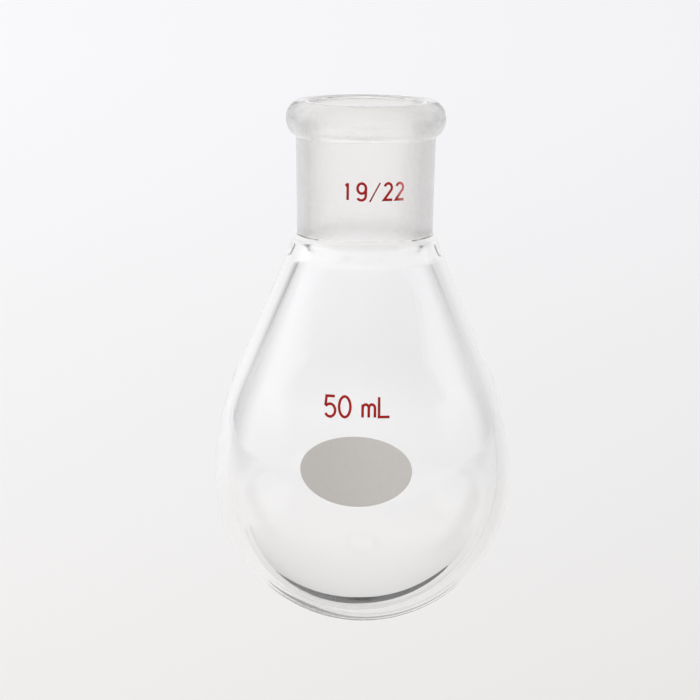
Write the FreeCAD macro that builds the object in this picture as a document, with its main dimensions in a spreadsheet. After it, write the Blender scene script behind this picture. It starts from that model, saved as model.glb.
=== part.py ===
import FreeCAD, Part
import os

import Sketcher

# A pear-shaped glass flask with a ground socket, and the marking spot fired on its belly.
# Millimetres and degrees. The mouth is at z = 0 with the axis along Z, and the body is below it.

SIZES = [
    ("overall_height", 87.3, "mouth to the lowest point of the bottom"),
    ("belly_diameter", 49.5, "widest place of the body, outside"),
    ("shoulder_straight", 24.73, "straight part of the shoulder, above the arc into the belly"),
    ("belly_wall", 2.28, "glass at the belly and the bottom"),
    ("shoulder_wall", 2.82, "glass at the shoulder, measured level with the foot of the socket"),
    ("socket_bore", 18.8, "large end of the ground socket"),
    ("socket_length", 22.0, "ground length of the socket"),
    ("taper_run", 10.0, "length over which the socket's diameter changes by one"),
    ("lip_round", 0.6, "fire-polished lip above the ground length"),
    ("tube_wall", 2.2, "glass round the large end of the socket"),
    ("bead_reach", 1.65, "the bead stands proud of the joint tube"),
    ("bead_height", 5.9, "mouth to the underside of the bead"),
    ("bead_top_round", 0.9, "bead into the face of the mouth"),
    ("bead_foot_round", 0.35, "bead into the joint tube"),
    ("neck_relief", 0.7, "the plain neck is wider than the foot of the socket, all round"),
    ("neck_length", 1.5, "foot of the socket to the ledge"),
    ("neck_wall", 2.25, "glass round the plain neck"),
    ("neck_round", 2.5, "neck into the ledge"),
    ("ledge_drop", 2.6, "height of the ledge from the neck to the shoulder"),
    ("ledge_round", 5.0, "ledge into the shoulder"),
    ("seal_step", 0.6, "step where the shoulder is sealed to the joint tube"),
    ("seal_round", 0.45, "rounding of that step"),
    ("spot_width", 18.0, "marking spot, across"),
    ("spot_height", 11.2, "marking spot, up and down"),
    ("spot_rise", 5.05, "middle of the spot above the widest place of the body"),
    ("spot_shift", 1.1, "middle of the spot, to the left of the axis"),
    ("spot_tilt", 1.3, "the right end of the spot hangs by this angle"),
    ("spot_thickness", 0.12, "enamel of the spot"),
]

# The sketcher's own numbers for the points of an edge, and for its axes
START, END, CENTRE = range(1, 4)
VERTICAL_AXIS, ROOT = range(-2, 0)
SAME_PLACE = 1e-4


class Length:
    """A length in two forms: its value, and the formula that ties it to the sheet."""

    def __init__(self, value, formula):
        self.value = value
        self.formula = formula

    def __add__(self, other):
        return Length(self.value + other.value, f"({self.formula} + {other.formula})")

    def __sub__(self, other):
        return Length(self.value - other.value, f"({self.formula} - {other.formula})")

    def __mul__(self, other):
        return Length(self.value * other.value, f"({self.formula} * {other.formula})")

    def __truediv__(self, other):
        return Length(self.value / other.value, f"({self.formula} / {other.formula})")

    def half(self):
        return Length(self.value / 2, f"({self.formula} / 2)")


class Measures:
    """The radii and depths that follow from the sizes in the sheet."""

    def __init__(self, sheet):
        self.sheet = sheet
        size = self.size
        taper = size("taper_run")
        self.foot_depth = size("socket_length") + size("lip_round")
        self.socket_mouth = (size("socket_bore") + size("lip_round") / taper).half()
        self.socket_foot = (size("socket_bore") - size("socket_length") / taper).half()
        self.tube_mouth = size("socket_bore").half() + size("tube_wall")
        self.bead = self.tube_mouth + size("bead_reach")
        self.neck = self.socket_foot + size("neck_relief")
        self.neck_depth = self.foot_depth + size("neck_length")
        self.ledge_depth = self.neck_depth + size("ledge_drop")
        self.tube_foot = self.neck + size("neck_wall")
        self.seal = self.tube_foot + size("seal_step")
        self.belly = size("belly_diameter").half()
        self.belly_depth = size("overall_height") - self.belly
        # The arc touches the straight shoulder at its end and the level of the belly upright
        across = self.belly - self.seal
        rise = self.belly_depth - self.foot_depth
        straight = size("shoulder_straight")
        self.arc = (across * across + rise * rise - straight * straight).half() / across

    def size(self, name):
        return Length(self.sheet.get(name), f"sizes.{name}")


def write_sizes(doc):
    """Keep each driving size in the sheet, with its name as the cell's alias."""
    sheet = doc.addObject("Spreadsheet::Sheet", "sizes")
    for row, (name, value, note) in enumerate(SIZES, 1):
        sheet.set(f"A{row}", name)
        sheet.set(f"B{row}", str(value))
        sheet.setAlias(f"B{row}", name)
        sheet.set(f"C{row}", note)
    doc.recompute()
    return sheet


def origin_plane(body, role):
    return next(plane for plane in body.Origin.OriginFeatures if plane.Role == role)


class Profile:
    """A sketch on its body's own upright plane, with its sizes bound to the sheet."""

    def __init__(self, body, name):
        self.sketch = body.newObject("Sketcher::SketchObject", name)
        self.sketch.AttachmentSupport = (origin_plane(body, "XZ_Plane"), [""])
        self.sketch.MapMode = "FlatFace"

    def line(self, start, end):
        points = [FreeCAD.Vector(*start, 0), FreeCAD.Vector(*end, 0)]
        return self.sketch.addGeometry(Part.LineSegment(*points), False)

    def arc(self, start, middle, end):
        points = [FreeCAD.Vector(*point, 0) for point in (start, middle, end)]
        return self.sketch.addGeometry(Part.Arc(*points), False)

    def mark(self, point):
        """A construction point."""
        return self.sketch.addGeometry(Part.Point(FreeCAD.Vector(*point, 0)), True)

    def tie(self, kind, *references):
        return self.sketch.addConstraint(Sketcher.Constraint(kind, *references))

    def bind(self, kind, references, length):
        constraint = Sketcher.Constraint(kind, *references, length.value)
        index = self.sketch.addConstraint(constraint)
        self.sketch.setExpression(f"Constraints[{index}]", length.formula)

    def chain(self, *links):
        """Each pair of (geometry, point) is one corner of the outline."""
        for first, second in links:
            self.tie("Coincident", *first, *second)

    def place(self, geometry, point, radius, depth):
        """The point stands this far to the right of the axis and this far below the mouth."""
        self.bind("DistanceX", (ROOT, START, geometry, point), radius)
        self.bind("DistanceY", (geometry, point, ROOT, START), depth)

    def below(self, geometry, point, depth):
        self.bind("DistanceY", (geometry, point, ROOT, START), depth)

    def radius(self, arc, radius):
        self.bind("Radius", (arc,), radius)


def revolve(body, kind, name, sketch):
    feature = body.newObject(kind, name)
    feature.Profile = sketch
    feature.ReferenceAxis = (sketch, ["V_Axis"])
    feature.Angle = 360
    body.Document.recompute()
    return feature


def round_edges(body, name, base, places):
    """Round the level circular edges of the base that pass through the places (radius, depth)."""
    names = []
    for radius, depth in places:
        for index, edge in enumerate(base.Shape.Edges, 1):
            if edge.Degenerated or not isinstance(edge.Curve, Part.Circle):
                continue
            off = abs(edge.Curve.Radius - radius.value) + abs(edge.Curve.Center.z + depth.value)
            if off < SAME_PLACE:
                names.append(f"Edge{index}")
    fillet = body.newObject("PartDesign::Fillet", name)
    fillet.Base = (base, names)
    fillet.setExpression("Radius", f"sizes.{name}_round")
    body.Document.recompute()
    return fillet


def pear_side(top, belly_radius, arc_radius, belly_depth):
    """Where the straight shoulder leaves the arc: the line from the top touches the arc there."""
    centre = belly_radius - arc_radius
    reach = FreeCAD.Vector(top[0] - centre, top[1] + belly_depth, 0)
    touch = (reach.Length**2 - arc_radius**2) ** 0.5
    ahead = reach / reach.Length
    along = arc_radius**2 / reach.Length
    aside = arc_radius * touch / reach.Length
    offset = ahead * along + FreeCAD.Vector(ahead.y, -ahead.x, 0) * aside
    return centre + offset.x, offset.y - belly_depth


def add_pear(profile, top, sight, belly_radius, arc_radius, belly_depth):
    """The shoulder line from the top, the shoulder arc and the round bottom, all tangent.

    The line points at the place named sight, and the top lies on it.
    """
    shoulder_end = pear_side(sight, belly_radius, arc_radius, belly_depth)
    half_rise = (shoulder_end[1] + belly_depth) / 2
    bulge = (arc_radius**2 - half_rise**2) ** 0.5
    arc_middle = (belly_radius - arc_radius + bulge, half_rise - belly_depth)
    belly = (belly_radius, -belly_depth)
    half = belly_radius * 0.5**0.5
    bottom = (0, -belly_depth - belly_radius)
    shoulder = profile.line(top, shoulder_end)
    arc = profile.arc(belly, arc_middle, shoulder_end)
    bowl = profile.arc(bottom, (half, -belly_depth - half), belly)
    profile.tie("Tangent", shoulder, END, arc, END)
    profile.tie("Tangent", arc, START, bowl, END)
    profile.tie("Horizontal", arc, CENTRE, bowl, CENTRE)
    profile.tie("PointOnObject", bowl, CENTRE, VERTICAL_AXIS)
    profile.tie("PointOnObject", bowl, START, VERTICAL_AXIS)
    return shoulder, arc, bowl


def add_outside_pear(profile, made):
    """The pear of the flask's outside, from the seal down, and its size."""
    top = (made.seal.value, -made.foot_depth.value)
    pear = (made.belly.value, made.arc.value, made.belly_depth.value)
    shoulder, arc, bowl = add_pear(profile, top, top, *pear)
    profile.place(shoulder, START, made.seal, made.foot_depth)
    profile.bind("Distance", (shoulder,), made.size("shoulder_straight"))
    profile.radius(bowl, made.belly)
    profile.below(bowl, START, made.size("overall_height"))
    return shoulder, arc, bowl


def make_outside(body, made):
    """The flask's outer form as a solid: bead, joint tube, seal, shoulder, belly and round bottom."""
    bead_height = made.size("bead_height")
    bead_half = bead_height.half()
    reach = made.size("bead_reach")
    bead_radius = (bead_half * bead_half + reach * reach).half() / reach
    tube_depth = made.foot_depth - made.size("seal_step")
    mouth_edge = (made.tube_mouth.value, 0)
    bead_foot = (made.tube_mouth.value, -bead_height.value)
    tube_end = (made.tube_foot.value, -tube_depth.value)

    profile = Profile(body, "outside_profile")
    shoulder, arc, bowl = add_outside_pear(profile, made)
    face = profile.line((0, 0), mouth_edge)
    roll = profile.arc(bead_foot, (made.bead.value, -bead_half.value), mouth_edge)
    tube = profile.line(bead_foot, tube_end)
    step = profile.line(tube_end, (made.seal.value, -made.foot_depth.value))
    axis = profile.line((0, -made.size("overall_height").value), (0, 0))
    profile.chain(
        ((face, START), (ROOT, START)),
        ((face, END), (roll, END)),
        ((roll, START), (tube, START)),
        ((tube, END), (step, START)),
        ((step, END), (shoulder, START)),
        ((bowl, START), (axis, START)),
        ((axis, END), (face, START)),
    )
    profile.tie("Horizontal", face)
    profile.place(roll, START, made.tube_mouth, bead_height)
    profile.below(roll, CENTRE, bead_half)
    profile.radius(roll, bead_radius)
    profile.place(tube, END, made.tube_foot, tube_depth)
    return revolve(body, "PartDesign::Revolution", "outside", profile.sketch)


def make_cavity(body, made):
    """The space inside the body: plain neck, ledge, shoulder and round bottom."""
    wall = made.size("belly_wall")
    belly = made.belly - wall
    arc_radius = made.arc - wall
    inner_seal = made.seal - made.size("shoulder_wall")
    sight = (inner_seal.value, -made.foot_depth.value)
    pear = (belly.value, arc_radius.value, made.belly_depth.value)
    shoulder_end = pear_side(sight, *pear)
    slope = (shoulder_end[0] - sight[0]) / (sight[1] - shoulder_end[1])
    ledge = (sight[0] + slope * (made.ledge_depth - made.foot_depth).value, -made.ledge_depth.value)
    neck_top = (made.neck.value, -made.foot_depth.value)
    neck_end = (made.neck.value, -made.neck_depth.value)

    profile = Profile(body, "cavity_profile")
    shoulder, arc, bowl = add_pear(profile, ledge, sight, *pear)
    top = profile.line((0, neck_top[1]), neck_top)
    neck = profile.line(neck_top, neck_end)
    shelf = profile.line(neck_end, ledge)
    axis = profile.line((0, -(made.belly_depth + belly).value), (0, neck_top[1]))
    mark = profile.mark(sight)
    profile.chain(
        ((top, END), (neck, START)),
        ((neck, END), (shelf, START)),
        ((shelf, END), (shoulder, START)),
        ((bowl, START), (axis, START)),
        ((axis, END), (top, START)),
    )
    profile.tie("Horizontal", top)
    profile.tie("Vertical", neck)
    profile.tie("PointOnObject", top, START, VERTICAL_AXIS)
    profile.tie("PointOnObject", mark, START, shoulder)
    profile.place(top, END, made.neck, made.foot_depth)
    profile.below(neck, END, made.neck_depth)
    profile.below(shelf, END, made.ledge_depth)
    profile.place(mark, START, inner_seal, made.foot_depth)
    profile.radius(arc, arc_radius)
    profile.radius(bowl, belly)
    profile.below(bowl, START, made.belly_depth + belly)
    groove = revolve(body, "PartDesign::Groove", "cavity", profile.sketch)
    return groove, Length(ledge[0], "")


def make_socket(body, made):
    """The ground socket, which narrows from the mouth to the plain neck."""
    mouth = made.socket_mouth.value
    foot = (made.socket_foot.value, -made.foot_depth.value)
    profile = Profile(body, "socket_profile")
    top = profile.line((0, 0), (mouth, 0))
    wall = profile.line((mouth, 0), foot)
    base = profile.line(foot, (0, foot[1]))
    axis = profile.line((0, foot[1]), (0, 0))
    profile.chain(
        ((top, START), (ROOT, START)),
        ((top, END), (wall, START)),
        ((wall, END), (base, START)),
        ((base, END), (axis, START)),
        ((axis, END), (top, START)),
    )
    profile.tie("Horizontal", top)
    profile.tie("Horizontal", base)
    profile.bind("DistanceX", (ROOT, START, wall, START), made.socket_mouth)
    profile.place(wall, END, made.socket_foot, made.foot_depth)
    return revolve(body, "PartDesign::Groove", "socket", profile.sketch)


def make_flask(doc, made):
    body = doc.addObject("PartDesign::Body", "flask")
    body.Label = "flask"
    outside = make_outside(body, made)
    cavity, ledge = make_cavity(body, made)
    socket = make_socket(body, made)
    if not socket.Shape.Volume < cavity.Shape.Volume < outside.Shape.Volume:
        raise ValueError("a groove of the flask removed no glass")

    mouth = Length(0, "0")
    seal_top = (made.tube_foot, made.foot_depth - made.size("seal_step"))
    last = round_edges(body, "lip", socket, [(made.socket_mouth, mouth)])
    last = round_edges(body, "bead_top", last, [(made.tube_mouth, mouth)])
    last = round_edges(body, "bead_foot", last, [(made.tube_mouth, made.size("bead_height"))])
    last = round_edges(body, "seal", last, [seal_top, (made.seal, made.foot_depth)])
    last = round_edges(body, "neck", last, [(made.neck, made.neck_depth)])
    body.Tip = round_edges(body, "ledge", last, [(ledge, made.ledge_depth)])
    doc.recompute()
    return body


def make_enamel_skin(doc, made):
    """A skin of the enamel's thickness on the whole pear, which the spot is cut from."""
    thickness = made.size("spot_thickness")
    belly = made.belly + thickness
    top = (made.seal.value, -made.foot_depth.value)
    pear = (made.belly.value, made.arc.value, made.belly_depth.value)
    touch = FreeCAD.Vector(*pear_side(top, *pear), 0)
    fall = touch - FreeCAD.Vector(*top, 0)
    face_top = (top[0] - thickness.value * fall.Length / fall.y, top[1])
    face_pear = (belly.value, (made.arc + thickness).value, made.belly_depth.value)

    skin = doc.addObject("PartDesign::Body", "enamel_skin")
    profile = Profile(skin, "skin_profile")
    glass, glass_arc, glass_bowl = add_outside_pear(profile, made)
    face, face_arc, face_bowl = add_pear(profile, face_top, face_top, *face_pear)
    roof = profile.line(top, face_top)
    glass_low = (made.belly_depth + made.belly).value
    face_low = (made.belly_depth + belly).value
    base = profile.line((0, -glass_low), (0, -face_low))
    profile.chain(
        ((roof, START), (glass, START)),
        ((roof, END), (face, START)),
        ((base, START), (glass_bowl, START)),
        ((base, END), (face_bowl, START)),
    )
    profile.tie("Horizontal", roof)
    profile.tie("Parallel", glass, face)
    profile.tie("Vertical", glass_arc, CENTRE, face_arc, CENTRE)
    profile.tie("Horizontal", glass_bowl, CENTRE, face_bowl, CENTRE)
    profile.radius(face_bowl, belly)
    revolve(skin, "PartDesign::Revolution", "skin", profile.sketch)
    return skin


def make_marking_spot(doc, made):
    """The enamel lies on the glass: a thin skin of the belly's form, trimmed to a tilted oval."""
    skin = make_enamel_skin(doc, made)
    oval = doc.addObject("Part::Ellipse", "spot_outline")
    oval.setExpression("MajorRadius", made.size("spot_width").half().formula)
    oval.setExpression("MinorRadius", made.size("spot_height").half().formula)
    upright = FreeCAD.Rotation(FreeCAD.Vector(1, 0, 0), 90)
    tilt = FreeCAD.Rotation(FreeCAD.Vector(0, 1, 0), made.size("spot_tilt").value)
    oval.Placement = FreeCAD.Placement(FreeCAD.Vector(0, 0, 0), tilt * upright)
    oval.setExpression("Placement.Base.x", "-sizes.spot_shift")
    oval.setExpression("Placement.Base.z", (made.size("spot_rise") - made.belly_depth).formula)
    column = doc.addObject("Part::Extrusion", "spot_column")
    column.Base = oval
    column.DirMode = "Custom"
    column.Dir = FreeCAD.Vector(0, -1, 0)
    column.setExpression("LengthFwd", "sizes.belly_diameter")
    column.Solid = True
    spot = doc.addObject("Part::MultiCommon", "marking_spot")
    spot.Label = "marking_spot"
    spot.Shapes = [skin, column]
    doc.recompute()
    return spot


def check(doc, pieces):
    for item in doc.Objects:
        if "Invalid" in item.State or "Error" in item.State:
            raise ValueError(f"{item.Label} failed: {item.State}")
    for piece in pieces:
        shape = piece.Shape
        if shape.isNull() or not shape.isValid() or len(shape.Solids) != 1:
            raise ValueError(f"{piece.Label} is not one valid solid")


def main():
    doc = FreeCAD.newDocument("recovery_flask")
    made = Measures(write_sizes(doc))
    pieces = [make_flask(doc, made), make_marking_spot(doc, made)]
    check(doc, pieces)
    os.makedirs("parts", exist_ok=True)
    for piece in pieces:
        piece.Shape.exportStep(f"parts/{piece.Label}.step")
        box = piece.Shape.optimalBoundingBox(False, False)
        print(f"{piece.Label}: {piece.Shape.Volume:.2f} mm3, {box}")


main()
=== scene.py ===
"""The looks of a pear-shaped glass flask: clear blown glass with a ground socket, and fired prints.

The sizes are metres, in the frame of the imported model: the mouth is at z = 0, the axis is Z and
the front is towards -Y.
"""

import math

import bpy
import numpy as np
from mathutils import Matrix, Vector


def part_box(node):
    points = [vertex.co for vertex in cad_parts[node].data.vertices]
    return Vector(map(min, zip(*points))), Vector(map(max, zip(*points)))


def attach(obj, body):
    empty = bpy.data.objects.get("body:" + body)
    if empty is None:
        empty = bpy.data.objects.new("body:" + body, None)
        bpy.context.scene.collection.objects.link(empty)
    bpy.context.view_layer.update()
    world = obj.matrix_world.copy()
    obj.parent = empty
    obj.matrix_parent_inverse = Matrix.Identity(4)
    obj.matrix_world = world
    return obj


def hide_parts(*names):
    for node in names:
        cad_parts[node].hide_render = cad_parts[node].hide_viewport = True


bl_info = {
    "name": "Recovery flask",
    "version": (1, 0, 0),
    "blender": (4, 5, 0),
    "location": "View3D > Sidebar > Flask",
    "description": "Dresses the packed flask with glass, enamel and a pale studio",
    "category": "Object",
}

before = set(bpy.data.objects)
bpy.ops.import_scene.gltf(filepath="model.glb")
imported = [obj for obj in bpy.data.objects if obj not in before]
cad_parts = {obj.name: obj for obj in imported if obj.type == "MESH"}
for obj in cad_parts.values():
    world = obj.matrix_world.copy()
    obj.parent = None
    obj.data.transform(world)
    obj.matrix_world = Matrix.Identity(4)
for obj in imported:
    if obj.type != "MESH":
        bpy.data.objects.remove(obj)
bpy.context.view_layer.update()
FLASK_LOW, FLASK_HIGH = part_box("flask")

MM = 0.001
TURN = 2 * math.pi
BOUNCES = 64  # light crosses the ground socket's walls many times


def length(name, description, millimetres):
    """A size in metres, given here in millimetres."""
    return bpy.props.FloatProperty(
        name=name, description=description, default=millimetres * MM, unit="LENGTH", precision=5
    )


def number(name, description, default):
    return bpy.props.FloatProperty(name=name, description=description, default=default, precision=4)


def colour(name, description, default):
    return bpy.props.FloatVectorProperty(
        name=name, description=description, default=default, subtype="COLOR", size=3, min=0, max=1
    )


class FlaskForm(bpy.types.PropertyGroup):
    """Sizes of the blown glass and its ground socket."""

    shoulder_straight: length("Straight shoulder", "Straight part above the shoulder's arc", 24.73)
    belly_wall: length("Belly wall", "Glass at the belly and the bottom", 2.28)
    shoulder_wall: length("Shoulder wall", "Glass at the shoulder, level with the socket's foot", 2.82)
    socket_bore: length("Socket bore", "Large end of the ground socket", 18.8)
    socket_length: length("Socket length", "Ground length of the socket", 22.0)
    taper_run: number("Taper run", "Lengths over which the socket's diameter changes by one", 10.0)
    lip_round: length("Lip round", "Fire-polished lip above the ground length", 0.6)
    tube_wall: length("Tube wall", "Glass round the large end of the socket", 2.2)
    bead_reach: length("Bead reach", "The bead stands proud of the joint tube", 1.65)
    bead_height: length("Bead height", "Mouth to the underside of the bead", 5.9)
    bead_top_round: length("Bead top round", "Bead into the face of the mouth", 0.9)
    bead_foot_round: length("Bead foot round", "Bead into the joint tube", 0.35)
    neck_relief: length("Neck relief", "The neck is wider than the socket's foot", 0.7)
    neck_length: length("Neck length", "Foot of the socket to the ledge", 1.5)
    neck_wall: length("Neck wall", "Glass round the plain neck", 2.25)
    neck_round: length("Neck round", "Neck into the ledge", 2.5)
    ledge_drop: length("Ledge drop", "Height of the ledge", 2.6)
    ledge_round: length("Ledge round", "Ledge into the shoulder", 5.0)
    seal_step: length("Seal step", "Step where the shoulder is sealed to the tube", 0.6)
    seal_round: length("Seal round", "Rounding of that step", 0.45)
    foot_round: length("Foot round", "Edges at the foot of the ground length", 0.12)


class GlassLook(bpy.types.PropertyGroup):
    """Finish of the glass and of its ground surface."""

    tint: colour("Glass tint", "Colour that each surface lets through", (0.996, 0.996, 0.995))
    index: number("Index", "Refractive index of the glass", 1.473)
    polish: number("Polish", "Roughness of the fire-polished glass", 0.004)
    ground_tint: colour("Ground tint", "Colour of the ground surface", (0.986, 0.975, 0.958))
    ground: number("Ground roughness", "Roughness of the ground surface", 0.25)
    ground_range: number("Ground range", "The roughness wanders by this to both sides", 0.08)
    ground_tooth: length("Ground tooth", "Depth of the ground surface's grain", 0.05)
    ground_haze: number("Ground haze", "Share of light that the ground surface lets through", 1.0)


class PrintForm(bpy.types.PropertyGroup):
    """The oval marking spot and the red figures."""

    spot_width: length("Spot width", "Marking spot, across", 18.0)
    spot_height: length("Spot height", "Marking spot, up and down", 11.2)
    spot_rise: length("Spot rise", "Middle of the spot above the widest place of the body", 5.05)
    spot_shift: length("Spot shift", "Middle of the spot, left of the axis", 1.1)
    spot_tilt: number("Spot tilt", "The right end of the spot hangs by this many degrees", 1.3)
    enamel: length("Enamel", "Thickness of the spot", 0.12)
    spot_colour: colour("Spot colour", "Left end of the marking spot", (0.515, 0.493, 0.466))
    spot_light: colour("Spot, right end", "Right end of the marking spot", (0.6, 0.575, 0.55))
    stroke: length("Stroke", "Width of a figure's line", 0.43)
    relief: length("Relief", "Height of a figure's line above the glass", 0.035)
    print_colour: colour("Print colour", "Fired enamel of the figures", (0.37, 0.012, 0.01))
    print_worn: colour("Worn print", "The same where it is worn thin", (0.62, 0.155, 0.145))
    worn_from: length("Worn from", "Place across from which the figures are worn", 4.9)


class StageForm(bpy.types.PropertyGroup):
    """Camera, floor and light."""

    focal: length("Focal length", "Focal length on a sensor 36 mm wide", 174.92)
    camera_side: length("Camera side", "Camera from the axis, to the right", -2.268)
    camera_back: length("Camera distance", "Camera in front of the axis", 559.3)
    camera_height: length("Camera height", "Camera above the mouth", 51.65)
    camera_pitch: number("Camera pitch", "Degrees that the camera looks down", 9.477)
    camera_roll: number("Camera roll", "Degrees that the camera is turned", 0.548)
    floor_gap: length("Floor gap", "Floor below the lowest point of the glass", 100.0)
    floor_radius: length("Floor radius", "Radius of the floor", 5000.0)
    # floor_near and floor_far paint a pool of light: the floor is painted lighter far behind.
    floor_near: colour("Near floor", "Floor colour in front", (0.838, 0.828, 0.818))
    floor_far: colour("Far floor", "Floor colour far behind", (0.915, 0.909, 0.93))
    # studio_skew dims the studio's light to the right, and paints the same fall onto the floor as shade.
    studio_skew: number("Studio skew", "Fall of the floor's and the studio's level to the right", 0.28)
    world_level: number("Horizon", "Level of the studio at the horizon", 0.93)
    world_top: number("Overhead", "Level of the studio overhead", 1.13)
    # world_sides sets the studio's two dim bands of light, and the same bands painted onto the floor as
    # shade.
    world_sides: number("Bands", "Share of the level that is left in the two dim bands", 0.28)
    world_gap: number("Gap", "Darkness of the gap above the backdrop", 0.8)
    box_level: number("Soft boxes", "Level that the soft box on each side adds", 0.5)
    world_colour: colour("Studio colour", "Colour of the studio's light", (1.0, 0.998, 1.0))
    # The card colour is painted shade: the dark cards that only the glass shows, under its bottom.
    shade_card_colour: colour("Card colour", "Colour of the dark cards", (0.006, 0.006, 0.005))
    card_gap: length("Card gap", "Dark cards below the lowest point of the glass", 12.7)


def settings(name):
    return getattr(bpy.context.scene, name)


def polyline(*points):
    return np.array(points, float)


def circular(centre, radius, start, stop, count=400):
    """Points centre + radius (cos a, sin a), with the angle a going evenly from start to stop."""
    angle = np.linspace(start, stop, count)
    return np.asarray(centre) + radius * np.column_stack((np.cos(angle), np.sin(angle)))


def along(run):
    """The distance along a polyline at each of its points."""
    steps = np.hypot(*np.diff(run, axis=0).T)
    return np.concatenate(([0.0], np.cumsum(steps)))


def sample(run, distances):
    """Points of a polyline at the given distances along it, by straight interpolation."""
    where = along(run)
    return np.column_stack([np.interp(distances, where, column) for column in run.T])


def corner_cut(first, second, radius):
    """How far a round of this radius takes from each side of a corner: radius times tan(turn / 2)."""
    before = first[-1] - first[-2]
    after = second[1] - second[0]
    turn = np.arctan2(before[0] * after[1] - before[1] * after[0], before @ after)
    return radius * math.tan(abs(turn) / 2)


def corner_arc(before, start, stop, after, count=10):
    """A round between two points with given directions there.

    The two tangents meet at a point c, and the round is the conic
    ((1-t)^2 start + 2 w t (1-t) c + t^2 stop) / ((1-t)^2 + 2 w t (1-t) + t^2),
    where w is the cosine of half the turn, which makes it a circle between equal tangents.
    """
    reach = np.linalg.solve(np.column_stack((before, -after)), stop - start)
    meet = start + reach[0] * before
    cosine = before @ after / np.linalg.norm(before) / np.linalg.norm(after)
    weight = math.sqrt((1 + cosine) / 2)
    t = np.linspace(0, 1, count)[1:-1, None]
    parts = (1 - t) ** 2, 2 * weight * t * (1 - t), t**2
    return (parts[0] * start + parts[1] * meet + parts[2] * stop) / sum(parts)


def rounded(runs, radii, steps):
    """One outline from the runs, each sampled at its own step, with a round at each corner.

    radii[i] is the round between run i and run i + 1, and 0 joins two runs that are already smooth.
    """
    cuts = [corner_cut(runs[i], runs[i + 1], radius) if radius else 0 for i, radius in enumerate(radii)]
    pieces = []
    for i, (run, step) in enumerate(zip(runs, steps)):
        start = cuts[i - 1] if i else 0
        stop = along(run)[-1] - (cuts[i] if i < len(cuts) else 0)
        count = max(3, round((stop - start) / step) + 1)
        points = sample(run, np.linspace(start, stop, count))
        if i and not radii[i - 1]:
            points = points[1:]
        elif i:
            last = pieces[-1]
            pieces.append(corner_arc(last[-1] - last[-2], last[-1], points[0], points[1] - points[0]))
        pieces.append(points)
    return np.vstack(pieces)


class Measures:
    """The radii and depths that follow from the flask's sizes."""

    def __init__(self, form):
        self.foot = form.socket_length + form.lip_round
        self.socket_mouth = (form.socket_bore + form.lip_round / form.taper_run) / 2
        self.socket_foot = (form.socket_bore - form.socket_length / form.taper_run) / 2
        self.tube_mouth = form.socket_bore / 2 + form.tube_wall
        self.bead = self.tube_mouth + form.bead_reach
        self.neck = self.socket_foot + form.neck_relief
        self.tube_foot = self.neck + form.neck_wall
        self.seal = self.tube_foot + form.seal_step
        self.belly = FLASK_HIGH.x
        self.belly_depth = -FLASK_LOW.z - self.belly
        across = self.belly - self.seal
        rise = self.belly_depth - self.foot
        self.arc = (across**2 + rise**2 - form.shoulder_straight**2) / (2 * across)

    def pear(self, top, inset):
        """Bowl, arc and shoulder from the pole to the top, all moved inwards by the inset."""
        belly, arc = self.belly - inset, self.arc - inset
        bowl = circular((0, -self.belly_depth), belly, -TURN / 4, 0)
        centre = np.array((belly - arc, -self.belly_depth))
        reach = np.asarray(top) - centre
        distance = np.hypot(*reach)
        touch = math.atan2(reach[1], reach[0]) - math.acos(arc / distance)
        side = circular(centre, arc, 0, touch)
        return bowl, side, polyline(side[-1], top)

    def outside_radius(self, height):
        """Outer radius of the body at each height, on the bowl below the belly and the arc above."""
        rise = height + self.belly_depth
        bowl = np.sqrt(np.maximum(self.belly**2 - rise**2, 0))
        arc = self.belly - self.arc + np.sqrt(np.maximum(self.arc**2 - rise**2, 0))
        return np.where(rise < 0, bowl, arc)

    def tube_radius(self, height, form):
        """Outer radius of the joint tube at each height: a straight taper."""
        share = (-height - form.bead_height) / (self.foot - form.seal_step - form.bead_height)
        return self.tube_mouth + (self.tube_foot - self.tube_mouth) * share


def flask_outline(form):
    """The glass in section, from the inner pole up, over the mouth and down to the outer pole.

    Returns the points (radius, height), and the heights between which the bore is ground.
    """
    made = Measures(form)
    inner_seal = made.seal - form.shoulder_wall
    bowl_in, side_in, shoulder_in = made.pear((inner_seal, -made.foot), form.belly_wall)
    neck_end = -made.foot - form.neck_length
    ledge_height = neck_end - form.ledge_drop
    share = (ledge_height + made.foot) / (shoulder_in[0, 1] + made.foot)
    ledge = (inner_seal + share * (shoulder_in[0, 0] - inner_seal), ledge_height)
    bowl, side, shoulder = made.pear((made.seal, -made.foot), 0)

    bead_half = form.bead_height / 2
    bead_radius = (bead_half**2 + form.bead_reach**2) / (2 * form.bead_reach)
    spread = math.asin(bead_half / bead_radius)
    bead_centre = (made.bead - bead_radius, -bead_half)
    tube_end = (made.tube_foot, form.seal_step - made.foot)
    mouth_edge = (made.tube_mouth, 0)
    bead_foot = (made.tube_mouth, -form.bead_height)

    fine, medium, coarse = 0.3 * MM, 0.5 * MM, 1.2 * MM
    parts = [
        (bowl_in, 0, medium),
        (side_in, 0, medium),
        (polyline(shoulder_in[0], ledge), form.ledge_round, coarse),
        (polyline(ledge, (made.neck, neck_end)), form.neck_round, fine),
        (polyline((made.neck, neck_end), (made.neck, -made.foot)), form.foot_round, medium),
        (polyline((made.neck, -made.foot), (made.socket_foot, -made.foot)), form.foot_round, fine),
        (polyline((made.socket_foot, -made.foot), (made.socket_mouth, 0)), form.lip_round, coarse),
        (polyline((made.socket_mouth, 0), mouth_edge), form.bead_top_round, fine),
        (circular(bead_centre, bead_radius, spread, -spread), form.bead_foot_round, fine),
        (polyline(bead_foot, tube_end), form.seal_round, coarse),
        (polyline(tube_end, (made.seal, -made.foot)), form.seal_round, fine),
        (shoulder[::-1], 0, coarse),
        (side[::-1], 0, medium),
        (bowl[::-1], 0, medium),
    ]
    runs, radii, steps = zip(*parts)
    points = rounded(runs, radii[:-1], steps)
    points[[0, -1], 0] = 0
    return points, (-made.foot, -form.lip_round)


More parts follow.
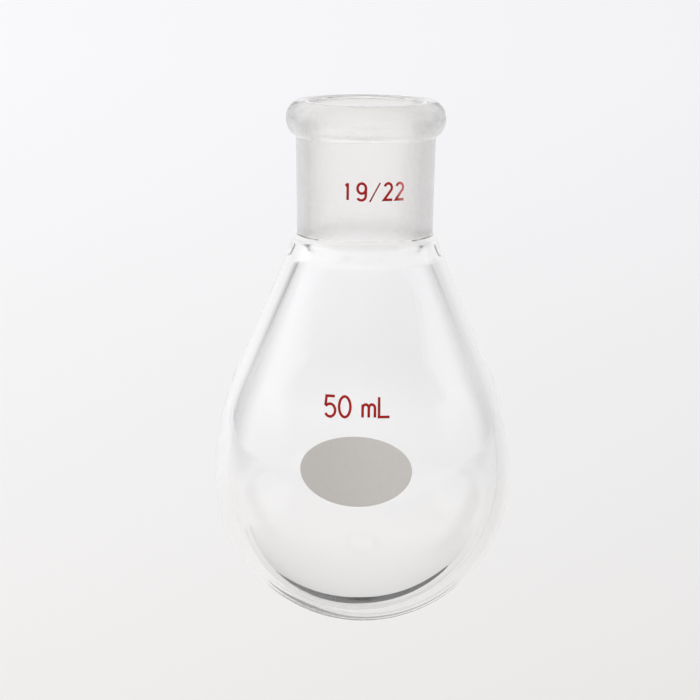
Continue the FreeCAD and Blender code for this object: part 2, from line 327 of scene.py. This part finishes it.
def lathe(name, outline, segments=216):
    """A closed mesh: outline point (r, z) at angle a goes to (r sin a, -r cos a, z).

    The outline's two ends lie on the axis, and each is one vertex. Seen along the outline, the solid
    is on its right, so the outward normal at a point with tangent (dr, dz) is (-dz, dr) turned by a.
    """
    angle = np.arange(segments) * TURN / segments
    around = np.column_stack((np.sin(angle), -np.cos(angle)))
    rings = outline[1:-1]
    count = len(rings)
    ring_points = np.empty((count, segments, 3))
    ring_points[..., :2] = rings[:, None, :1] * around
    ring_points[..., 2] = rings[:, None, 1]
    poles = np.array([(0, 0, outline[0, 1]), (0, 0, outline[-1, 1])])
    points = np.vstack((ring_points.reshape(-1, 3), poles))

    tangent = np.gradient(outline, along(outline), axis=0, edge_order=2)[1:-1]
    tangent /= np.hypot(*tangent.T)[:, None]
    normals = np.empty_like(ring_points)
    normals[..., :2] = -tangent[:, None, 1:] * around
    normals[..., 2] = tangent[:, None, 0]
    ends = np.array([(0, 0, 1.0), (0, 0, -1.0)])

    column = np.arange(segments)
    following = np.roll(column, -1)
    row = np.arange(count - 1)[:, None] * segments
    quads = np.stack((row + column, row + segments + column, row + segments + following, row + following), -1)
    first, last = count * segments, count * segments + 1
    edge = (count - 1) * segments
    inner_fan = np.column_stack((np.full(segments, first), column, following))
    outer_fan = np.column_stack((edge + column, np.full(segments, last), edge + following))
    faces = quads.reshape(-1, 4).tolist() + inner_fan.tolist() + outer_fan.tolist()

    mesh = bpy.data.meshes.new(name)
    mesh.from_pydata(points, [], faces)
    mesh.polygons.foreach_set("use_smooth", np.ones(len(faces), bool))
    mesh.normals_split_custom_set_from_vertices(np.vstack((normals.reshape(-1, 3), ends)))
    mesh.update()
    heights = np.concatenate(
        (np.repeat((rings[:-1, 1] + rings[1:, 1]) / 2, segments), np.zeros(2 * segments))
    )
    inside = np.concatenate((np.repeat(tangent[:-1, 1] > 0, segments), np.zeros(2 * segments, bool)))
    return mesh, heights, inside


def new_piece(name, mesh):
    piece = bpy.data.objects.new(name, mesh)
    bpy.context.scene.collection.objects.link(piece)
    return piece


def new_material(name):
    """A material with its Principled shader, ready for the caller's own nodes."""
    material = bpy.data.materials.new(name)
    material.use_nodes = True
    nodes = material.node_tree.nodes
    return material, nodes, material.node_tree.links, nodes["Principled BSDF"]


def connect(links, value, socket):
    """Link the value to the socket where it is a socket itself, and set it where it is a number."""
    if isinstance(value, bpy.types.NodeSocket):
        links.new(value, socket)
    else:
        socket.default_value = value


def noise(nodes, links, scale, detail, coordinates):
    node = nodes.new("ShaderNodeTexNoise")
    node.inputs["Detail"].default_value = detail
    connect(links, scale, node.inputs["Scale"])
    links.new(coordinates, node.inputs["Vector"])
    return node.outputs["Fac"]


def remap(nodes, links, value, low, high):
    """The value, from 0 to 1, spread between low and high."""
    node = nodes.new("ShaderNodeMapRange")
    for socket, part in zip(("Value", "To Min", "To Max"), (value, low, high)):
        connect(links, part, node.inputs[socket])
    return node.outputs["Result"]


def maths(nodes, links, operation, first, second):
    node = nodes.new("ShaderNodeMath")
    node.operation = operation
    connect(links, first, node.inputs[0])
    connect(links, second, node.inputs[1])
    return node.outputs["Value"]


def blend(nodes, links, kind, factor, first, second):
    """Two colours mixed by the factor: MIX goes from one to the other, MULTIPLY takes their product."""
    node = nodes.new("ShaderNodeMix")
    node.data_type = "RGBA"
    node.blend_type = kind
    for socket, value in zip(("Factor", "A", "B"), (factor, first, second)):
        connect(links, value, node.inputs[socket])
    return node.outputs["Result"]


def spread(nodes, links, value, low, high, start, stop, smooth=False):
    """The value, from low to high, mapped from start to stop and held there outside."""
    node = nodes.new("ShaderNodeMapRange")
    node.interpolation_type = "SMOOTHSTEP" if smooth else "LINEAR"
    for key, level in zip(("From Min", "From Max", "To Min", "To Max"), (low, high, start, stop)):
        node.inputs[key].default_value = level
    links.new(value, node.inputs["Value"])
    return node.outputs["Result"]


def bump(nodes, links, height, strength, distance, shader):
    node = nodes.new("ShaderNodeBump")
    node.inputs["Strength"].default_value = strength
    node.inputs["Distance"].default_value = distance
    links.new(height, node.inputs["Height"])
    links.new(node.outputs["Normal"], shader.inputs["Normal"])


def new_group(name, inputs, outputs):
    """An empty shader node group: its tree, the sockets that it is given and those that it fills."""
    tree = bpy.data.node_groups.new(name, "ShaderNodeTree")
    for side, sockets in (("INPUT", inputs), ("OUTPUT", outputs)):
        for label, kind in sockets:
            tree.interface.new_socket(label, in_out=side, socket_type="NodeSocket" + kind)
    given, filled = tree.nodes.new("NodeGroupInput"), tree.nodes.new("NodeGroupOutput")
    return tree, given.outputs, filled.inputs


def fine_grain():
    """The grain of ground, fired or wiped surfaces: a noise as a height, and spread from Low to High."""
    if "fine_grain" in bpy.data.node_groups:
        return bpy.data.node_groups["fine_grain"]
    sockets = ("Place", "Vector"), ("Scale", "Float"), ("Low", "Float"), ("High", "Float")
    tree, given, result = new_group("fine_grain", sockets, (("Height", "Float"), ("Roughness", "Float")))
    height = noise(tree.nodes, tree.links, given["Scale"], 3, given["Place"])
    tree.links.new(height, result["Height"])
    level = remap(tree.nodes, tree.links, height, given["Low"], given["High"])
    tree.links.new(level, result["Roughness"])
    return tree


def fired_colour():
    """Fired enamel: the colour wanders by Spread to both sides, and goes to Thin where Wear is one."""
    if "fired_colour" in bpy.data.node_groups:
        return bpy.data.node_groups["fired_colour"]
    sockets = (
        ("Place", "Vector"),
        ("Colour", "Color"),
        ("Thin", "Color"),
        ("Spread", "Float"),
        ("Scale", "Float"),
        ("Wear", "Float"),
    )
    tree, given, result = new_group("fired_colour", sockets, (("Colour", "Color"),))
    nodes, links = tree.nodes, tree.links
    mottle = noise(nodes, links, given["Scale"], 5, given["Place"])
    low = maths(nodes, links, "SUBTRACT", 1.0, given["Spread"])
    high = maths(nodes, links, "ADD", 1.0, given["Spread"])
    level = remap(nodes, links, mottle, low, high)
    worn = blend(nodes, links, "MIX", given["Wear"], given["Colour"], given["Thin"])
    links.new(blend(nodes, links, "MULTIPLY", 1.0, worn, level), result["Colour"])
    return tree


def place_group(nodes, links, tree, **values):
    """The group's node in a material, with each input set to a value or linked to a socket."""
    node = nodes.new("ShaderNodeGroup")
    node.node_tree = tree
    for label, value in values.items():
        connect(links, value, node.inputs[label.capitalize()])
    return node.outputs


def make_clear_glass(look):
    """Fire-polished borosilicate, with a trace of wiping marks in its gloss."""
    material, nodes, links, shader = new_material("clear_glass")
    shader.inputs["Base Color"].default_value = (*look.tint, 1)
    shader.inputs["IOR"].default_value = look.index
    shader.inputs["Transmission Weight"].default_value = 1
    place = nodes.new("ShaderNodeTexCoord").outputs["Object"]
    grain = place_group(nodes, links, fine_grain(), place=place, scale=160, low=0, high=2 * look.polish)
    links.new(grain["Roughness"], shader.inputs["Roughness"])
    return material


def make_ground_glass(look):
    """The matt bore: a rough surface with the tooth of the grit that ground it."""
    material, nodes, links, shader = new_material("ground_glass")
    shader.inputs["Base Color"].default_value = (*look.ground_tint, 1)
    shader.inputs["IOR"].default_value = look.index
    shader.inputs["Transmission Weight"].default_value = look.ground_haze
    place = nodes.new("ShaderNodeTexCoord").outputs["Object"]
    low, high = look.ground - look.ground_range, look.ground + look.ground_range
    grain = place_group(nodes, links, fine_grain(), place=place, scale=8000, low=low, high=high)
    links.new(grain["Roughness"], shader.inputs["Roughness"])
    bump(nodes, links, grain["Height"], 1, look.ground_tooth, shader)
    return material


class FLASK_OT_glass(bpy.types.Operator):
    """Add the blown flask with its ground bore"""

    bl_idname = "recovery_flask.glass"
    bl_label = "Add the glass"

    def execute(self, context):
        outline, ground = flask_outline(settings("flask_form"))
        mesh, heights, inside = lathe("flask_glass", outline)
        look = settings("glass_look")
        mesh.materials.append(make_clear_glass(look))
        mesh.materials.append(make_ground_glass(look))
        matt = inside & (heights > ground[0]) & (heights < ground[1])
        mesh.polygons.foreach_set("material_index", matt.astype(np.int32))
        mesh.update()
        piece = new_piece("flask_glass", mesh)
        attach(piece, "root")
        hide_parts("flask")
        return {"FINISHED"}


def make_enamel(name, colour, thin, wander, scale, wear, matt, tooth, sheen):
    """A fired enamel: wander and scale mottle its colour, matt is its roughness range.

    tooth is the height of its grain, and sheen the strength of its mirrored light.
    """
    material, nodes, links, shader = new_material(name)
    shader.inputs["Specular IOR Level"].default_value = sheen
    place = nodes.new("ShaderNodeTexCoord").outputs["Object"]
    x = nodes.new("ShaderNodeSeparateXYZ")
    links.new(place, x.inputs["Vector"])
    worn = spread(nodes, links, x.outputs["X"], *wear, 0, 1, True)
    tone = place_group(
        nodes,
        links,
        fired_colour(),
        place=place,
        colour=(*colour, 1),
        thin=(*thin, 1),
        spread=wander,
        scale=scale,
        wear=worn,
    )
    links.new(tone["Colour"], shader.inputs["Base Color"])
    grain = place_group(nodes, links, fine_grain(), place=place, scale=3000, low=matt[0], high=matt[1])
    links.new(grain["Roughness"], shader.inputs["Roughness"])
    bump(nodes, links, grain["Height"], 0.2, tooth, shader)
    return material


def make_spot_enamel(form):
    """A matt, pale enamel to write on, a little lighter towards its right end."""
    reach = form.spot_width / 2
    wear = (-form.spot_shift - reach, -form.spot_shift + reach)
    colours = form.spot_colour, form.spot_light
    return make_enamel("spot_enamel", *colours, 0.04, 900, wear, (0.55, 0.75), 0.01 * MM, 0.5)


def make_red_enamel(form):
    """The red of the figures, glossier than the spot, and worn thin at the right end of the size."""
    colours = form.print_colour, form.print_worn
    wear = (form.worn_from, form.worn_from + 0.9 * MM)
    return make_enamel("red_enamel", *colours, 0.15, 1800, wear, (0.3, 0.5), 0.002 * MM, 0.12)


def closed_sheet(name, front, back):
    """A thin closed mesh between two grids of points that share their rim, row by row from a centre.

    Row 0 of each grid is one place, and its last row is the rim.
    """
    rows, columns = front.shape[:2]
    front_rings = front[1:].reshape(-1, 3)
    back_rings = back[1:-1].reshape(-1, 3)
    points = np.vstack((front_rings, back_rings, front[0, :1], back[0, :1]))
    column = np.arange(columns)
    following = np.roll(column, -1)

    front_row = np.arange(rows - 1)[:, None] * columns
    back_row = (rows - 1 + np.arange(rows - 2)[:, None]) * columns
    back_row = np.vstack((back_row, front_row[-1:]))
    quads = []
    for row, turned in ((front_row, False), (back_row, True)):
        inner, outer = row[:-1], row[1:]
        order = (inner + column, outer + column, outer + following, inner + following)
        quads.append(np.stack(order[::-1] if turned else order, -1).reshape(-1, 4))
    middle = len(points) - 2
    front_fan = np.column_stack((np.full(columns, middle), column, following))
    back_start = (rows - 1) * columns
    back_fan = np.column_stack((np.full(columns, middle + 1), back_start + following, back_start + column))
    faces = [face for group in (*quads, front_fan, back_fan) for face in group.tolist()]
    mesh = bpy.data.meshes.new(name)
    mesh.from_pydata(points, [], faces)
    mesh.polygons.foreach_set("use_smooth", np.ones(len(faces), bool))
    mesh.update()
    return mesh


class FLASK_OT_marking_spot(bpy.types.Operator):
    """Add the oval marking spot on the belly"""

    bl_idname = "recovery_flask.marking_spot"
    bl_label = "Add the marking spot"

    def execute(self, context):
        """The spot is a disc (q, a), q from 0 to 1, laid on the belly.

        Across it lies q (w/2) cos a and up it lies q (h/2) sin a, turned by the tilt. Its face stands
        off the glass by the enamel times the fourth root of 1 - q^8, so that it rounds off at the rim.
        Its back is sunk into the glass by 0.15 of the enamel times the square root of 1 - q.
        """
        form = settings("print_form")
        made = Measures(settings("flask_form"))
        q = np.sin(np.linspace(0, TURN / 4, 40))[:, None]
        a = (np.arange(144) * TURN / 144)[None]
        across = q * np.cos(a) * form.spot_width / 2
        up = q * np.sin(a) * form.spot_height / 2
        tilt = math.radians(form.spot_tilt)
        x = across * math.cos(tilt) + up * math.sin(tilt) - form.spot_shift
        z = up * math.cos(tilt) - across * math.sin(tilt) + form.spot_rise - made.belly_depth
        proud = form.enamel * (1 - q**8) ** 0.25 + 0 * a

        def on_glass(offset):
            radius = made.outside_radius(z) + offset
            return np.stack((x, -np.sqrt(radius**2 - x**2), z), -1)

        sunk = -0.15 * form.enamel * (1 - q) ** 0.5 + 0 * a
        sheet = closed_sheet("marking_spot_enamel", on_glass(proud), on_glass(sunk))
        piece = new_piece("marking_spot_enamel", sheet)
        piece.data.materials.append(make_spot_enamel(form))
        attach(piece, "root")
        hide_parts("marking_spot")
        return {"FINISHED"}


def hoop(centre, across, up, start, stop, count=32):
    """Points centre + (across cos a, up sin a), with the angle a in turns from start to stop."""
    angle = np.linspace(start, stop, count) * TURN
    return np.asarray(centre) + np.column_stack((across * np.cos(angle), up * np.sin(angle)))


def chain(*parts):
    """One centre line from points and curves laid end to end."""
    return np.vstack([np.atleast_2d(np.asarray(part, float)) for part in parts])


# Each figure is the centre lines of its strokes, in a cell 1 high, with (0, 0) at its lower left.
GLYPHS = {
    "1": [chain((0.0, 0.84), (0.1, 0.9), (0.14, 1.0)), chain((0.14, 1.0), (0.14, 0.0))],
    "2": [chain(hoop((0.28, 0.74), 0.22, 0.26, 0.45, -0.07), (0.02, 0.02), (0.54, 0.02))],
    "5": [
        chain((0.52, 1.0), (0.08, 1.0), (0.03, 0.52)),
        chain((0.03, 0.52), hoop((0.27, 0.31), 0.27, 0.31, 0.33, -0.42)),
    ],
    "9": [
        hoop((0.25, 0.7), 0.25, 0.3, 0.0, 1.0, 64),
        chain((0.5, 0.7), (0.49, 0.4), hoop((0.23, 0.24), 0.255, 0.24, -0.02, -0.42)),
    ],
    "0": [hoop((0.29, 0.5), 0.29, 0.5, 0.0, 1.0, 64)],
    "/": [chain((0.0, -0.1), (0.62, 1.05))],
    "m": [
        chain((0.0, 0.64), (0.0, 0.0)),
        chain(hoop((0.16, 0.46), 0.16, 0.18, 0.5, 0.0), (0.32, 0.0)),
        chain(hoop((0.48, 0.46), 0.16, 0.18, 0.5, 0.0), (0.64, 0.0)),
    ],
    "L": [chain((0.0, 1.0), (0.0, 0.02), (0.55, 0.02))],
}


def stroke_mesh(lines, widths, height, wrap):
    """Raised strokes: each centre line carries a flat oval, and the whole is laid on the glass.

    At a centre line's point the oval is (w/2) cos b along the line's normal, which is mitred where the
    line turns, and height sin b away from the glass, with b once round.
    """
    section = np.arange(12) * TURN / 12
    points, faces = [], []
    for line, width in zip(lines, widths):
        ahead = np.diff(line, axis=0)
        ahead /= np.hypot(*ahead.T)[:, None]
        before, after = np.vstack((ahead[:1], ahead)), np.vstack((ahead, ahead[-1:]))
        closed = np.allclose(line[0], line[-1])
        if closed:
            before[0], after[-1] = ahead[-1], ahead[0]
        middle = before + after
        middle /= (middle * before).sum(1)[:, None]
        normal = np.column_stack((-middle[:, 1], middle[:, 0]))
        flat = line[:, None] + normal[:, None] * (np.cos(section) * width / 2)[None, :, None]
        lift = np.broadcast_to(np.sin(section) * height, flat.shape[:2])
        start = sum(map(len, points))
        points.append(wrap(flat[..., 0], flat[..., 1], lift).reshape(-1, 3))
        rows, columns = flat.shape[:2]
        column = np.arange(columns)
        following = np.roll(column, -1)
        row = start + np.arange(rows - 1)[:, None] * columns
        quads = (row + column, row + following, row + columns + following, row + columns + column)
        faces += np.stack(quads, -1).reshape(-1, 4).tolist()
        if not closed:
            faces.append((start + column[::-1]).tolist())
            faces.append((start + (rows - 1) * columns + column).tolist())
    return np.vstack(points), faces


def write_figures(name, text, form, left, base, radius_at):
    """Lay out figures from the left end and the base line, and wrap them round the glass.

    A place s across and z up, lifted by h, goes to ((R + h) sin(s/R), -(R + h) cos(s/R), z), where R
    is the glass's radius at z. text lists each figure with its place across, its height and its share
    of the stroke's width.
    """
    lines, widths = [], []
    for glyph, place, scale, thin in text:
        for stroke in GLYPHS[glyph]:
            lines.append(stroke * scale + (place, 0))
            widths.append(form.stroke * thin)

    def wrap(across, up, lift):
        z = base + up
        radius = radius_at(z)
        reach = radius + lift
        angle = (left + across) / radius
        return np.stack((reach * np.sin(angle), -reach * np.cos(angle), z), -1)

    points, faces = stroke_mesh(lines, widths, form.relief, wrap)
    mesh = bpy.data.meshes.new(name)
    mesh.from_pydata(points, [], faces)
    mesh.polygons.foreach_set("use_smooth", np.ones(len(faces), bool))
    mesh.update()
    return new_piece(name, mesh)


class FLASK_OT_figures(bpy.types.Operator):
    """Add the plain red figures: the volume and the socket's size"""

    bl_idname = "recovery_flask.figures"
    bl_label = "Add the figures"

    def execute(self, context):
        form = settings("print_form")
        flask = settings("flask_form")
        made = Measures(flask)
        red = make_red_enamel(form)
        volume = (
            ("5", 0.2 * MM, 3.15 * MM, 1),
            ("0", 2.55 * MM, 3.15 * MM, 1),
            ("m", 6.35 * MM, 3.1 * MM, 1),
            ("L", 9.0 * MM, 3.1 * MM, 1),
        )
        size = (
            ("1", 0.2 * MM, 2.75 * MM, 1),
            ("9", 2.2 * MM, 2.75 * MM, 1),
            ("/", 4.2 * MM, 2.75 * MM, 0.6),
            ("2", 6.5 * MM, 2.75 * MM, 1),
            ("2", 8.55 * MM, 2.75 * MM, 1),
        )
        pieces = [
            write_figures("volume_figures", volume, form, -6.5 * MM, -48.9 * MM, made.outside_radius),
            write_figures(
                "joint_figures", size, form, -3.5 * MM, -15.2 * MM, lambda z: made.tube_radius(z, flask)
            ),
        ]
        for piece in pieces:
            piece.data.materials.append(red)
            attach(piece, "root")
        return {"FINISHED"}


def disc(name, radius, height, segments=128):
    """A flat round sheet: a centre and the ring radius (cos a, sin a)."""
    angle = np.arange(segments) * TURN / segments
    ring = np.column_stack((np.cos(angle), np.sin(angle))) * radius
    points = np.column_stack((np.vstack((ring, (0, 0))), np.full(segments + 1, height)))
    column = np.arange(segments)
    faces = np.column_stack((column, np.roll(column, -1), np.full(segments, segments)))
    mesh = bpy.data.meshes.new(name)
    mesh.from_pydata(points, [], faces.tolist())
    return new_piece(name, mesh)


# Where the floor's painted light and shade fade: 1 / d in 1/m, t = x / d, and the distance behind the axis in
# metres
FLOOR_NEARNESS = (0.35, 1.14)
FLOOR_SLOPE = (-0.12, 0.75)
FLOOR_LEFT, FLOOR_RIGHT = (-1.33, -0.58), (0.83, 1.55)
FLOOR_BEHIND = (0.1, 0.4)

# Where the studio's parts fade, as parts x, y and z of a direction
WORLD_RISE = (0.1, 1)
WORLD_SLOPE = (-0.12, 0.68)
WORLD_LEFT, WORLD_RIGHT = (-0.8, -0.5), (0.64, 0.84)
WORLD_BEHIND = (0.3, 0.5)
GAP_SIDES, GAP_FOOT, GAP_HEAD, GAP_BEHIND = (0.02, 0.06), (0.1, 0.14), (0.28, 0.34), (0, 0.3)
BOX_SIDES, BOX_RISE = (0.86, 0.94), (0, 0.4)


def sloped(nodes, links, value, reach, skew):
    """1 - skew times the value, held outside the reach."""
    low, high = reach
    return spread(nodes, links, value, low, high, 1 - low * skew, 1 - high * skew)


def make_floor(form):
    """The pale floor, with light and shade painted into its colour: lighter far behind, darker to the right
    with the studio's fall, and with its two dim bands painted in as shade.

    With d the distance behind the camera's foot and t = x / d, its colour goes from the near to the
    far colour as 1 / d falls, a painted pool of light, and is multiplied by 1 - skew t, a painted fall
    of light, and by the painted shade of the bands, which follow t too.
    """
    material, nodes, links, shader = new_material("floor_painted_light")
    shader.inputs["Roughness"].default_value = 1
    shader.inputs["Specular IOR Level"].default_value = 0
    split = nodes.new("ShaderNodeSeparateXYZ")
    links.new(nodes.new("ShaderNodeTexCoord").outputs["Object"], split.inputs["Vector"])

    distance = maths(nodes, links, "ADD", split.outputs["Y"], form.camera_back)
    side = maths(nodes, links, "DIVIDE", split.outputs["X"], distance)
    nearness = maths(nodes, links, "DIVIDE", 1.0, distance)
    # Painted light: the floor's colour goes lighter far behind, as in a pool of light.
    near = spread(nodes, links, nearness, *FLOOR_NEARNESS, 0, 1)
    colour = blend(nodes, links, "MIX", near, (*form.floor_far, 1), (*form.floor_near, 1))
    # Painted shade: the floor is darker to the right, with the studio's fall.
    slope = sloped(nodes, links, side, FLOOR_SLOPE, form.studio_skew)
    # Painted shade: the two dim bands behind, on the left and the right.
    behind = spread(nodes, links, split.outputs["Y"], *FLOOR_BEHIND, 0, 1 - form.world_sides, True)
    left = spread(nodes, links, side, *FLOOR_LEFT, 1, 0, True)
    right = spread(nodes, links, side, *FLOOR_RIGHT, 0, 1, True)
    bands = maths(nodes, links, "MULTIPLY", behind, maths(nodes, links, "ADD", left, right))
    level = maths(nodes, links, "MULTIPLY", slope, maths(nodes, links, "SUBTRACT", 1.0, bands))
    links.new(blend(nodes, links, "MULTIPLY", 1.0, colour, level), shader.inputs["Base Color"])
    floor = disc("floor", form.floor_radius, FLASK_LOW.z - form.floor_gap)
    floor.data.materials.append(material)


# The edges of the dark cards of painted shade, in millimetres: places across, and how far behind the axis
# each edge lies there
BACK_ACROSS = (-26, -24, -20, -16, -12, -8, -4, 0, 4, 8, 12, 16, 20, 24, 26)
BACK_NEAR = (28.8, 27.4, 20.8, 15.9, 14.2, 14.0, 15.1, 16.5, 18.4, 19.7, 22.9, 27.4, 32.4, 39.4, 44.2)
BACK_FAR = (31.0, 31.2, 30.8, 28.8, 28.1, 27.6, 27.5, 27.8, 29.0, 30.4, 32.7, 35.9, 40.6, 44.5, 46.6)
UNDER_ACROSS = (-70, -50, -36, -24, -16, -8, 0, 8, 16, 24, 36, 50, 70)
UNDER_FAR = (17.0, 11.0, 6.5, 2.7, 0.8, -2.0, -3.95, -4.35, -3.3, -1.3, 2.4, 7.0, 13.0)


def make_card(name, across, near, far, form, material):
    """A level card of painted shade that only glass shows: the strip between two edges, each a smooth curve
    y(x).

    Each edge is the polynomial of half as many degrees as it has places that fits them best.
    """
    x = np.linspace(across[0], across[-1], 97)
    edges = [np.polynomial.Polynomial.fit(across, edge, len(across) // 2)(x) for edge in (near, far)]
    height = np.full((len(x), 2), (FLASK_LOW.z - form.card_gap) / MM)
    points = np.stack((np.column_stack((x, x)), np.column_stack(edges), height), -1) * MM
    row = np.arange(len(x) - 1) * 2
    faces = np.column_stack((row, row + 2, row + 3, row + 1))
    mesh = bpy.data.meshes.new(name)
    mesh.from_pydata(points.reshape(-1, 3), [], faces.tolist())
    piece = new_piece(name, mesh)
    piece.data.materials.append(material)
    # These cards of painted shade show only in the glass: not to the camera, to diffuse light or to shadows.
    piece.visible_camera = False
    piece.visible_diffuse = False
    piece.visible_shadow = False


def make_shade_cards(form):
    """Two dark cards close under the glass, which only the glass shows: painted shade that draws the dark
    line of its bottom.

    They fade into the floor's colour to the front, a painted soft edge of that shade, as the distance
    sqrt((x / 1.5)^2 + y^2) there goes from 13 to 60 mm.
    """
    material, nodes, links, shader = new_material("painted_shade_card")
    shader.inputs["Roughness"].default_value = 1
    shader.inputs["Specular IOR Level"].default_value = 0
    split = nodes.new("ShaderNodeSeparateXYZ")
    links.new(nodes.new("ShaderNodeTexCoord").outputs["Object"], split.inputs["Vector"])
    x, y = split.outputs["X"], split.outputs["Y"]
    across = maths(nodes, links, "POWER", maths(nodes, links, "MULTIPLY", x, 1 / 1.5), 2.0)
    along_y = maths(nodes, links, "POWER", y, 2.0)
    reach = maths(nodes, links, "SQRT", maths(nodes, links, "ADD", across, along_y), 0.5)
    # The painted shade softens: it fades to the floor's colour to the front and far out.
    front = spread(nodes, links, y, 8 * MM, 12 * MM, 1, 0, True)
    far_out = spread(nodes, links, reach, 13 * MM, 60 * MM, 0, 1, True)
    fade = maths(nodes, links, "MULTIPLY", front, far_out)
    tone = blend(nodes, links, "MIX", fade, (*form.shade_card_colour, 1), (*form.floor_near, 1))
    links.new(tone, shader.inputs["Base Color"])
    make_card("back_shade_card", BACK_ACROSS, BACK_NEAR, BACK_FAR, form, material)
    front = (-62.0,) * len(UNDER_ACROSS)
    make_card("under_shade_card", UNDER_ACROSS, front, UNDER_FAR, form, material)


def make_camera(form):
    data = bpy.data.cameras.new("photo_camera")
    data.sensor_width = 36
    data.lens = form.focal / MM
    data.clip_start, data.clip_end = 0.01, 20
    camera = bpy.data.objects.new("photo_camera", data)
    bpy.context.scene.collection.objects.link(camera)
    place = Matrix.Translation((form.camera_side, -form.camera_back, form.camera_height))
    pitch = Matrix.Rotation(math.radians(90 - form.camera_pitch), 4, "X")
    roll = Matrix.Rotation(math.radians(form.camera_roll), 4, "Z")
    camera.matrix_world = place @ pitch @ roll
    bpy.context.scene.camera = camera


def make_world(form):
    """A white studio: even all round, dimmed in two upright bands behind on the left and the right.

    With (x, y, z) the direction, the level is the horizon's with a rise from z = 0 to 1, times a slow
    fall to the right, times the two bands: each fades in with x outwards and with y from the side back.
    Soft boxes are added round the two directions straight out to the sides, and a dark gap stands
    straight behind, from 7 to 18 degrees up.
    """
    world = bpy.data.worlds.new("studio")
    bpy.context.scene.world = world
    world.use_nodes = True
    nodes, links = world.node_tree.nodes, world.node_tree.links
    split = nodes.new("ShaderNodeSeparateXYZ")
    links.new(nodes.new("ShaderNodeTexCoord").outputs["Generated"], split.inputs["Vector"])
    x, y, z = split.outputs
    behind = spread(nodes, links, y, *WORLD_BEHIND, 0, 1 - form.world_sides, True)
    left = spread(nodes, links, x, *WORLD_LEFT, 1, 0, True)
    right = spread(nodes, links, x, *WORLD_RIGHT, 0, 1, True)
    bands = maths(nodes, links, "MULTIPLY", behind, maths(nodes, links, "ADD", left, right))
    slope = sloped(nodes, links, x, WORLD_SLOPE, form.studio_skew)
    level = spread(nodes, links, z, *WORLD_RISE, form.world_level, form.world_top)
    sideways = maths(nodes, links, "ABSOLUTE", x, 0.0)
    gap = spread(nodes, links, sideways, *GAP_SIDES, 1, 0, True)
    for part in (
        spread(nodes, links, z, *GAP_FOOT, 0, 1, True),
        spread(nodes, links, z, *GAP_HEAD, 1, 0, True),
        spread(nodes, links, y, *GAP_BEHIND, 0, form.world_gap, True),
    ):
        gap = maths(nodes, links, "MULTIPLY", gap, part)
    level = maths(nodes, links, "MULTIPLY", level, slope)
    for dimmed in (bands, gap):
        level = maths(nodes, links, "MULTIPLY", level, maths(nodes, links, "SUBTRACT", 1.0, dimmed))
    boxes = spread(nodes, links, sideways, *BOX_SIDES, 0, form.box_level, True)
    boxes = maths(nodes, links, "MULTIPLY", boxes, spread(nodes, links, z, *BOX_RISE, 0, 1, True))
    links.new(maths(nodes, links, "ADD", level, boxes), nodes["Background"].inputs["Strength"])
    nodes["Background"].inputs["Color"].default_value = (*form.world_colour, 1)


class FLASK_OT_stage(bpy.types.Operator):
    """Add the camera, the pale floor with its painted light and shade, the dark cards of painted shade that
    only the glass shows, and the soft light
    """

    bl_idname = "recovery_flask.stage"
    bl_label = "Add the stage"

    def execute(self, context):
        form = settings("stage_form")
        make_camera(form)
        make_floor(form)
        make_shade_cards(form)
        make_world(form)
        scene = context.scene
        scene.view_settings.view_transform = "Standard"
        scene.cycles.max_bounces = BOUNCES
        scene.cycles.transmission_bounces = BOUNCES
        scene.cycles.glossy_bounces = BOUNCES
        return {"FINISHED"}


class FLASK_PT_panel(bpy.types.Panel):
    """Lists the pieces of the flask"""

    bl_idname = "FLASK_PT_panel"
    bl_label = "Flask"
    bl_space_type = "VIEW_3D"
    bl_region_type = "UI"
    bl_category = "Flask"

    def draw(self, context):
        for operator in OPERATORS:
            self.layout.operator(operator.bl_idname)
        for name in GROUPS:
            box = self.layout.box()
            box.label(text=name.replace("_", " ").capitalize())
            group = getattr(context.scene, name)
            for key in group.bl_rna.properties.keys():
                if key not in ("name", "rna_type"):
                    box.prop(group, key)


GROUPS = {
    "flask_form": FlaskForm,
    "glass_look": GlassLook,
    "print_form": PrintForm,
    "stage_form": StageForm,
}
OPERATORS = (FLASK_OT_glass, FLASK_OT_marking_spot, FLASK_OT_figures, FLASK_OT_stage)


def register():
    for item in (*GROUPS.values(), *OPERATORS, FLASK_PT_panel):
        bpy.utils.register_class(item)
    for name, group in GROUPS.items():
        setattr(bpy.types.Scene, name, bpy.props.PointerProperty(type=group))


def unregister():
    for name in GROUPS:
        delattr(bpy.types.Scene, name)
    for item in (FLASK_PT_panel, *reversed(OPERATORS), *reversed(GROUPS.values())):
        bpy.utils.unregister_class(item)


def main():
    register()
    bpy.ops.recovery_flask.glass()
    bpy.ops.recovery_flask.marking_spot()
    bpy.ops.recovery_flask.figures()
    bpy.ops.recovery_flask.stage()


if __name__ == "__main__":
    main()
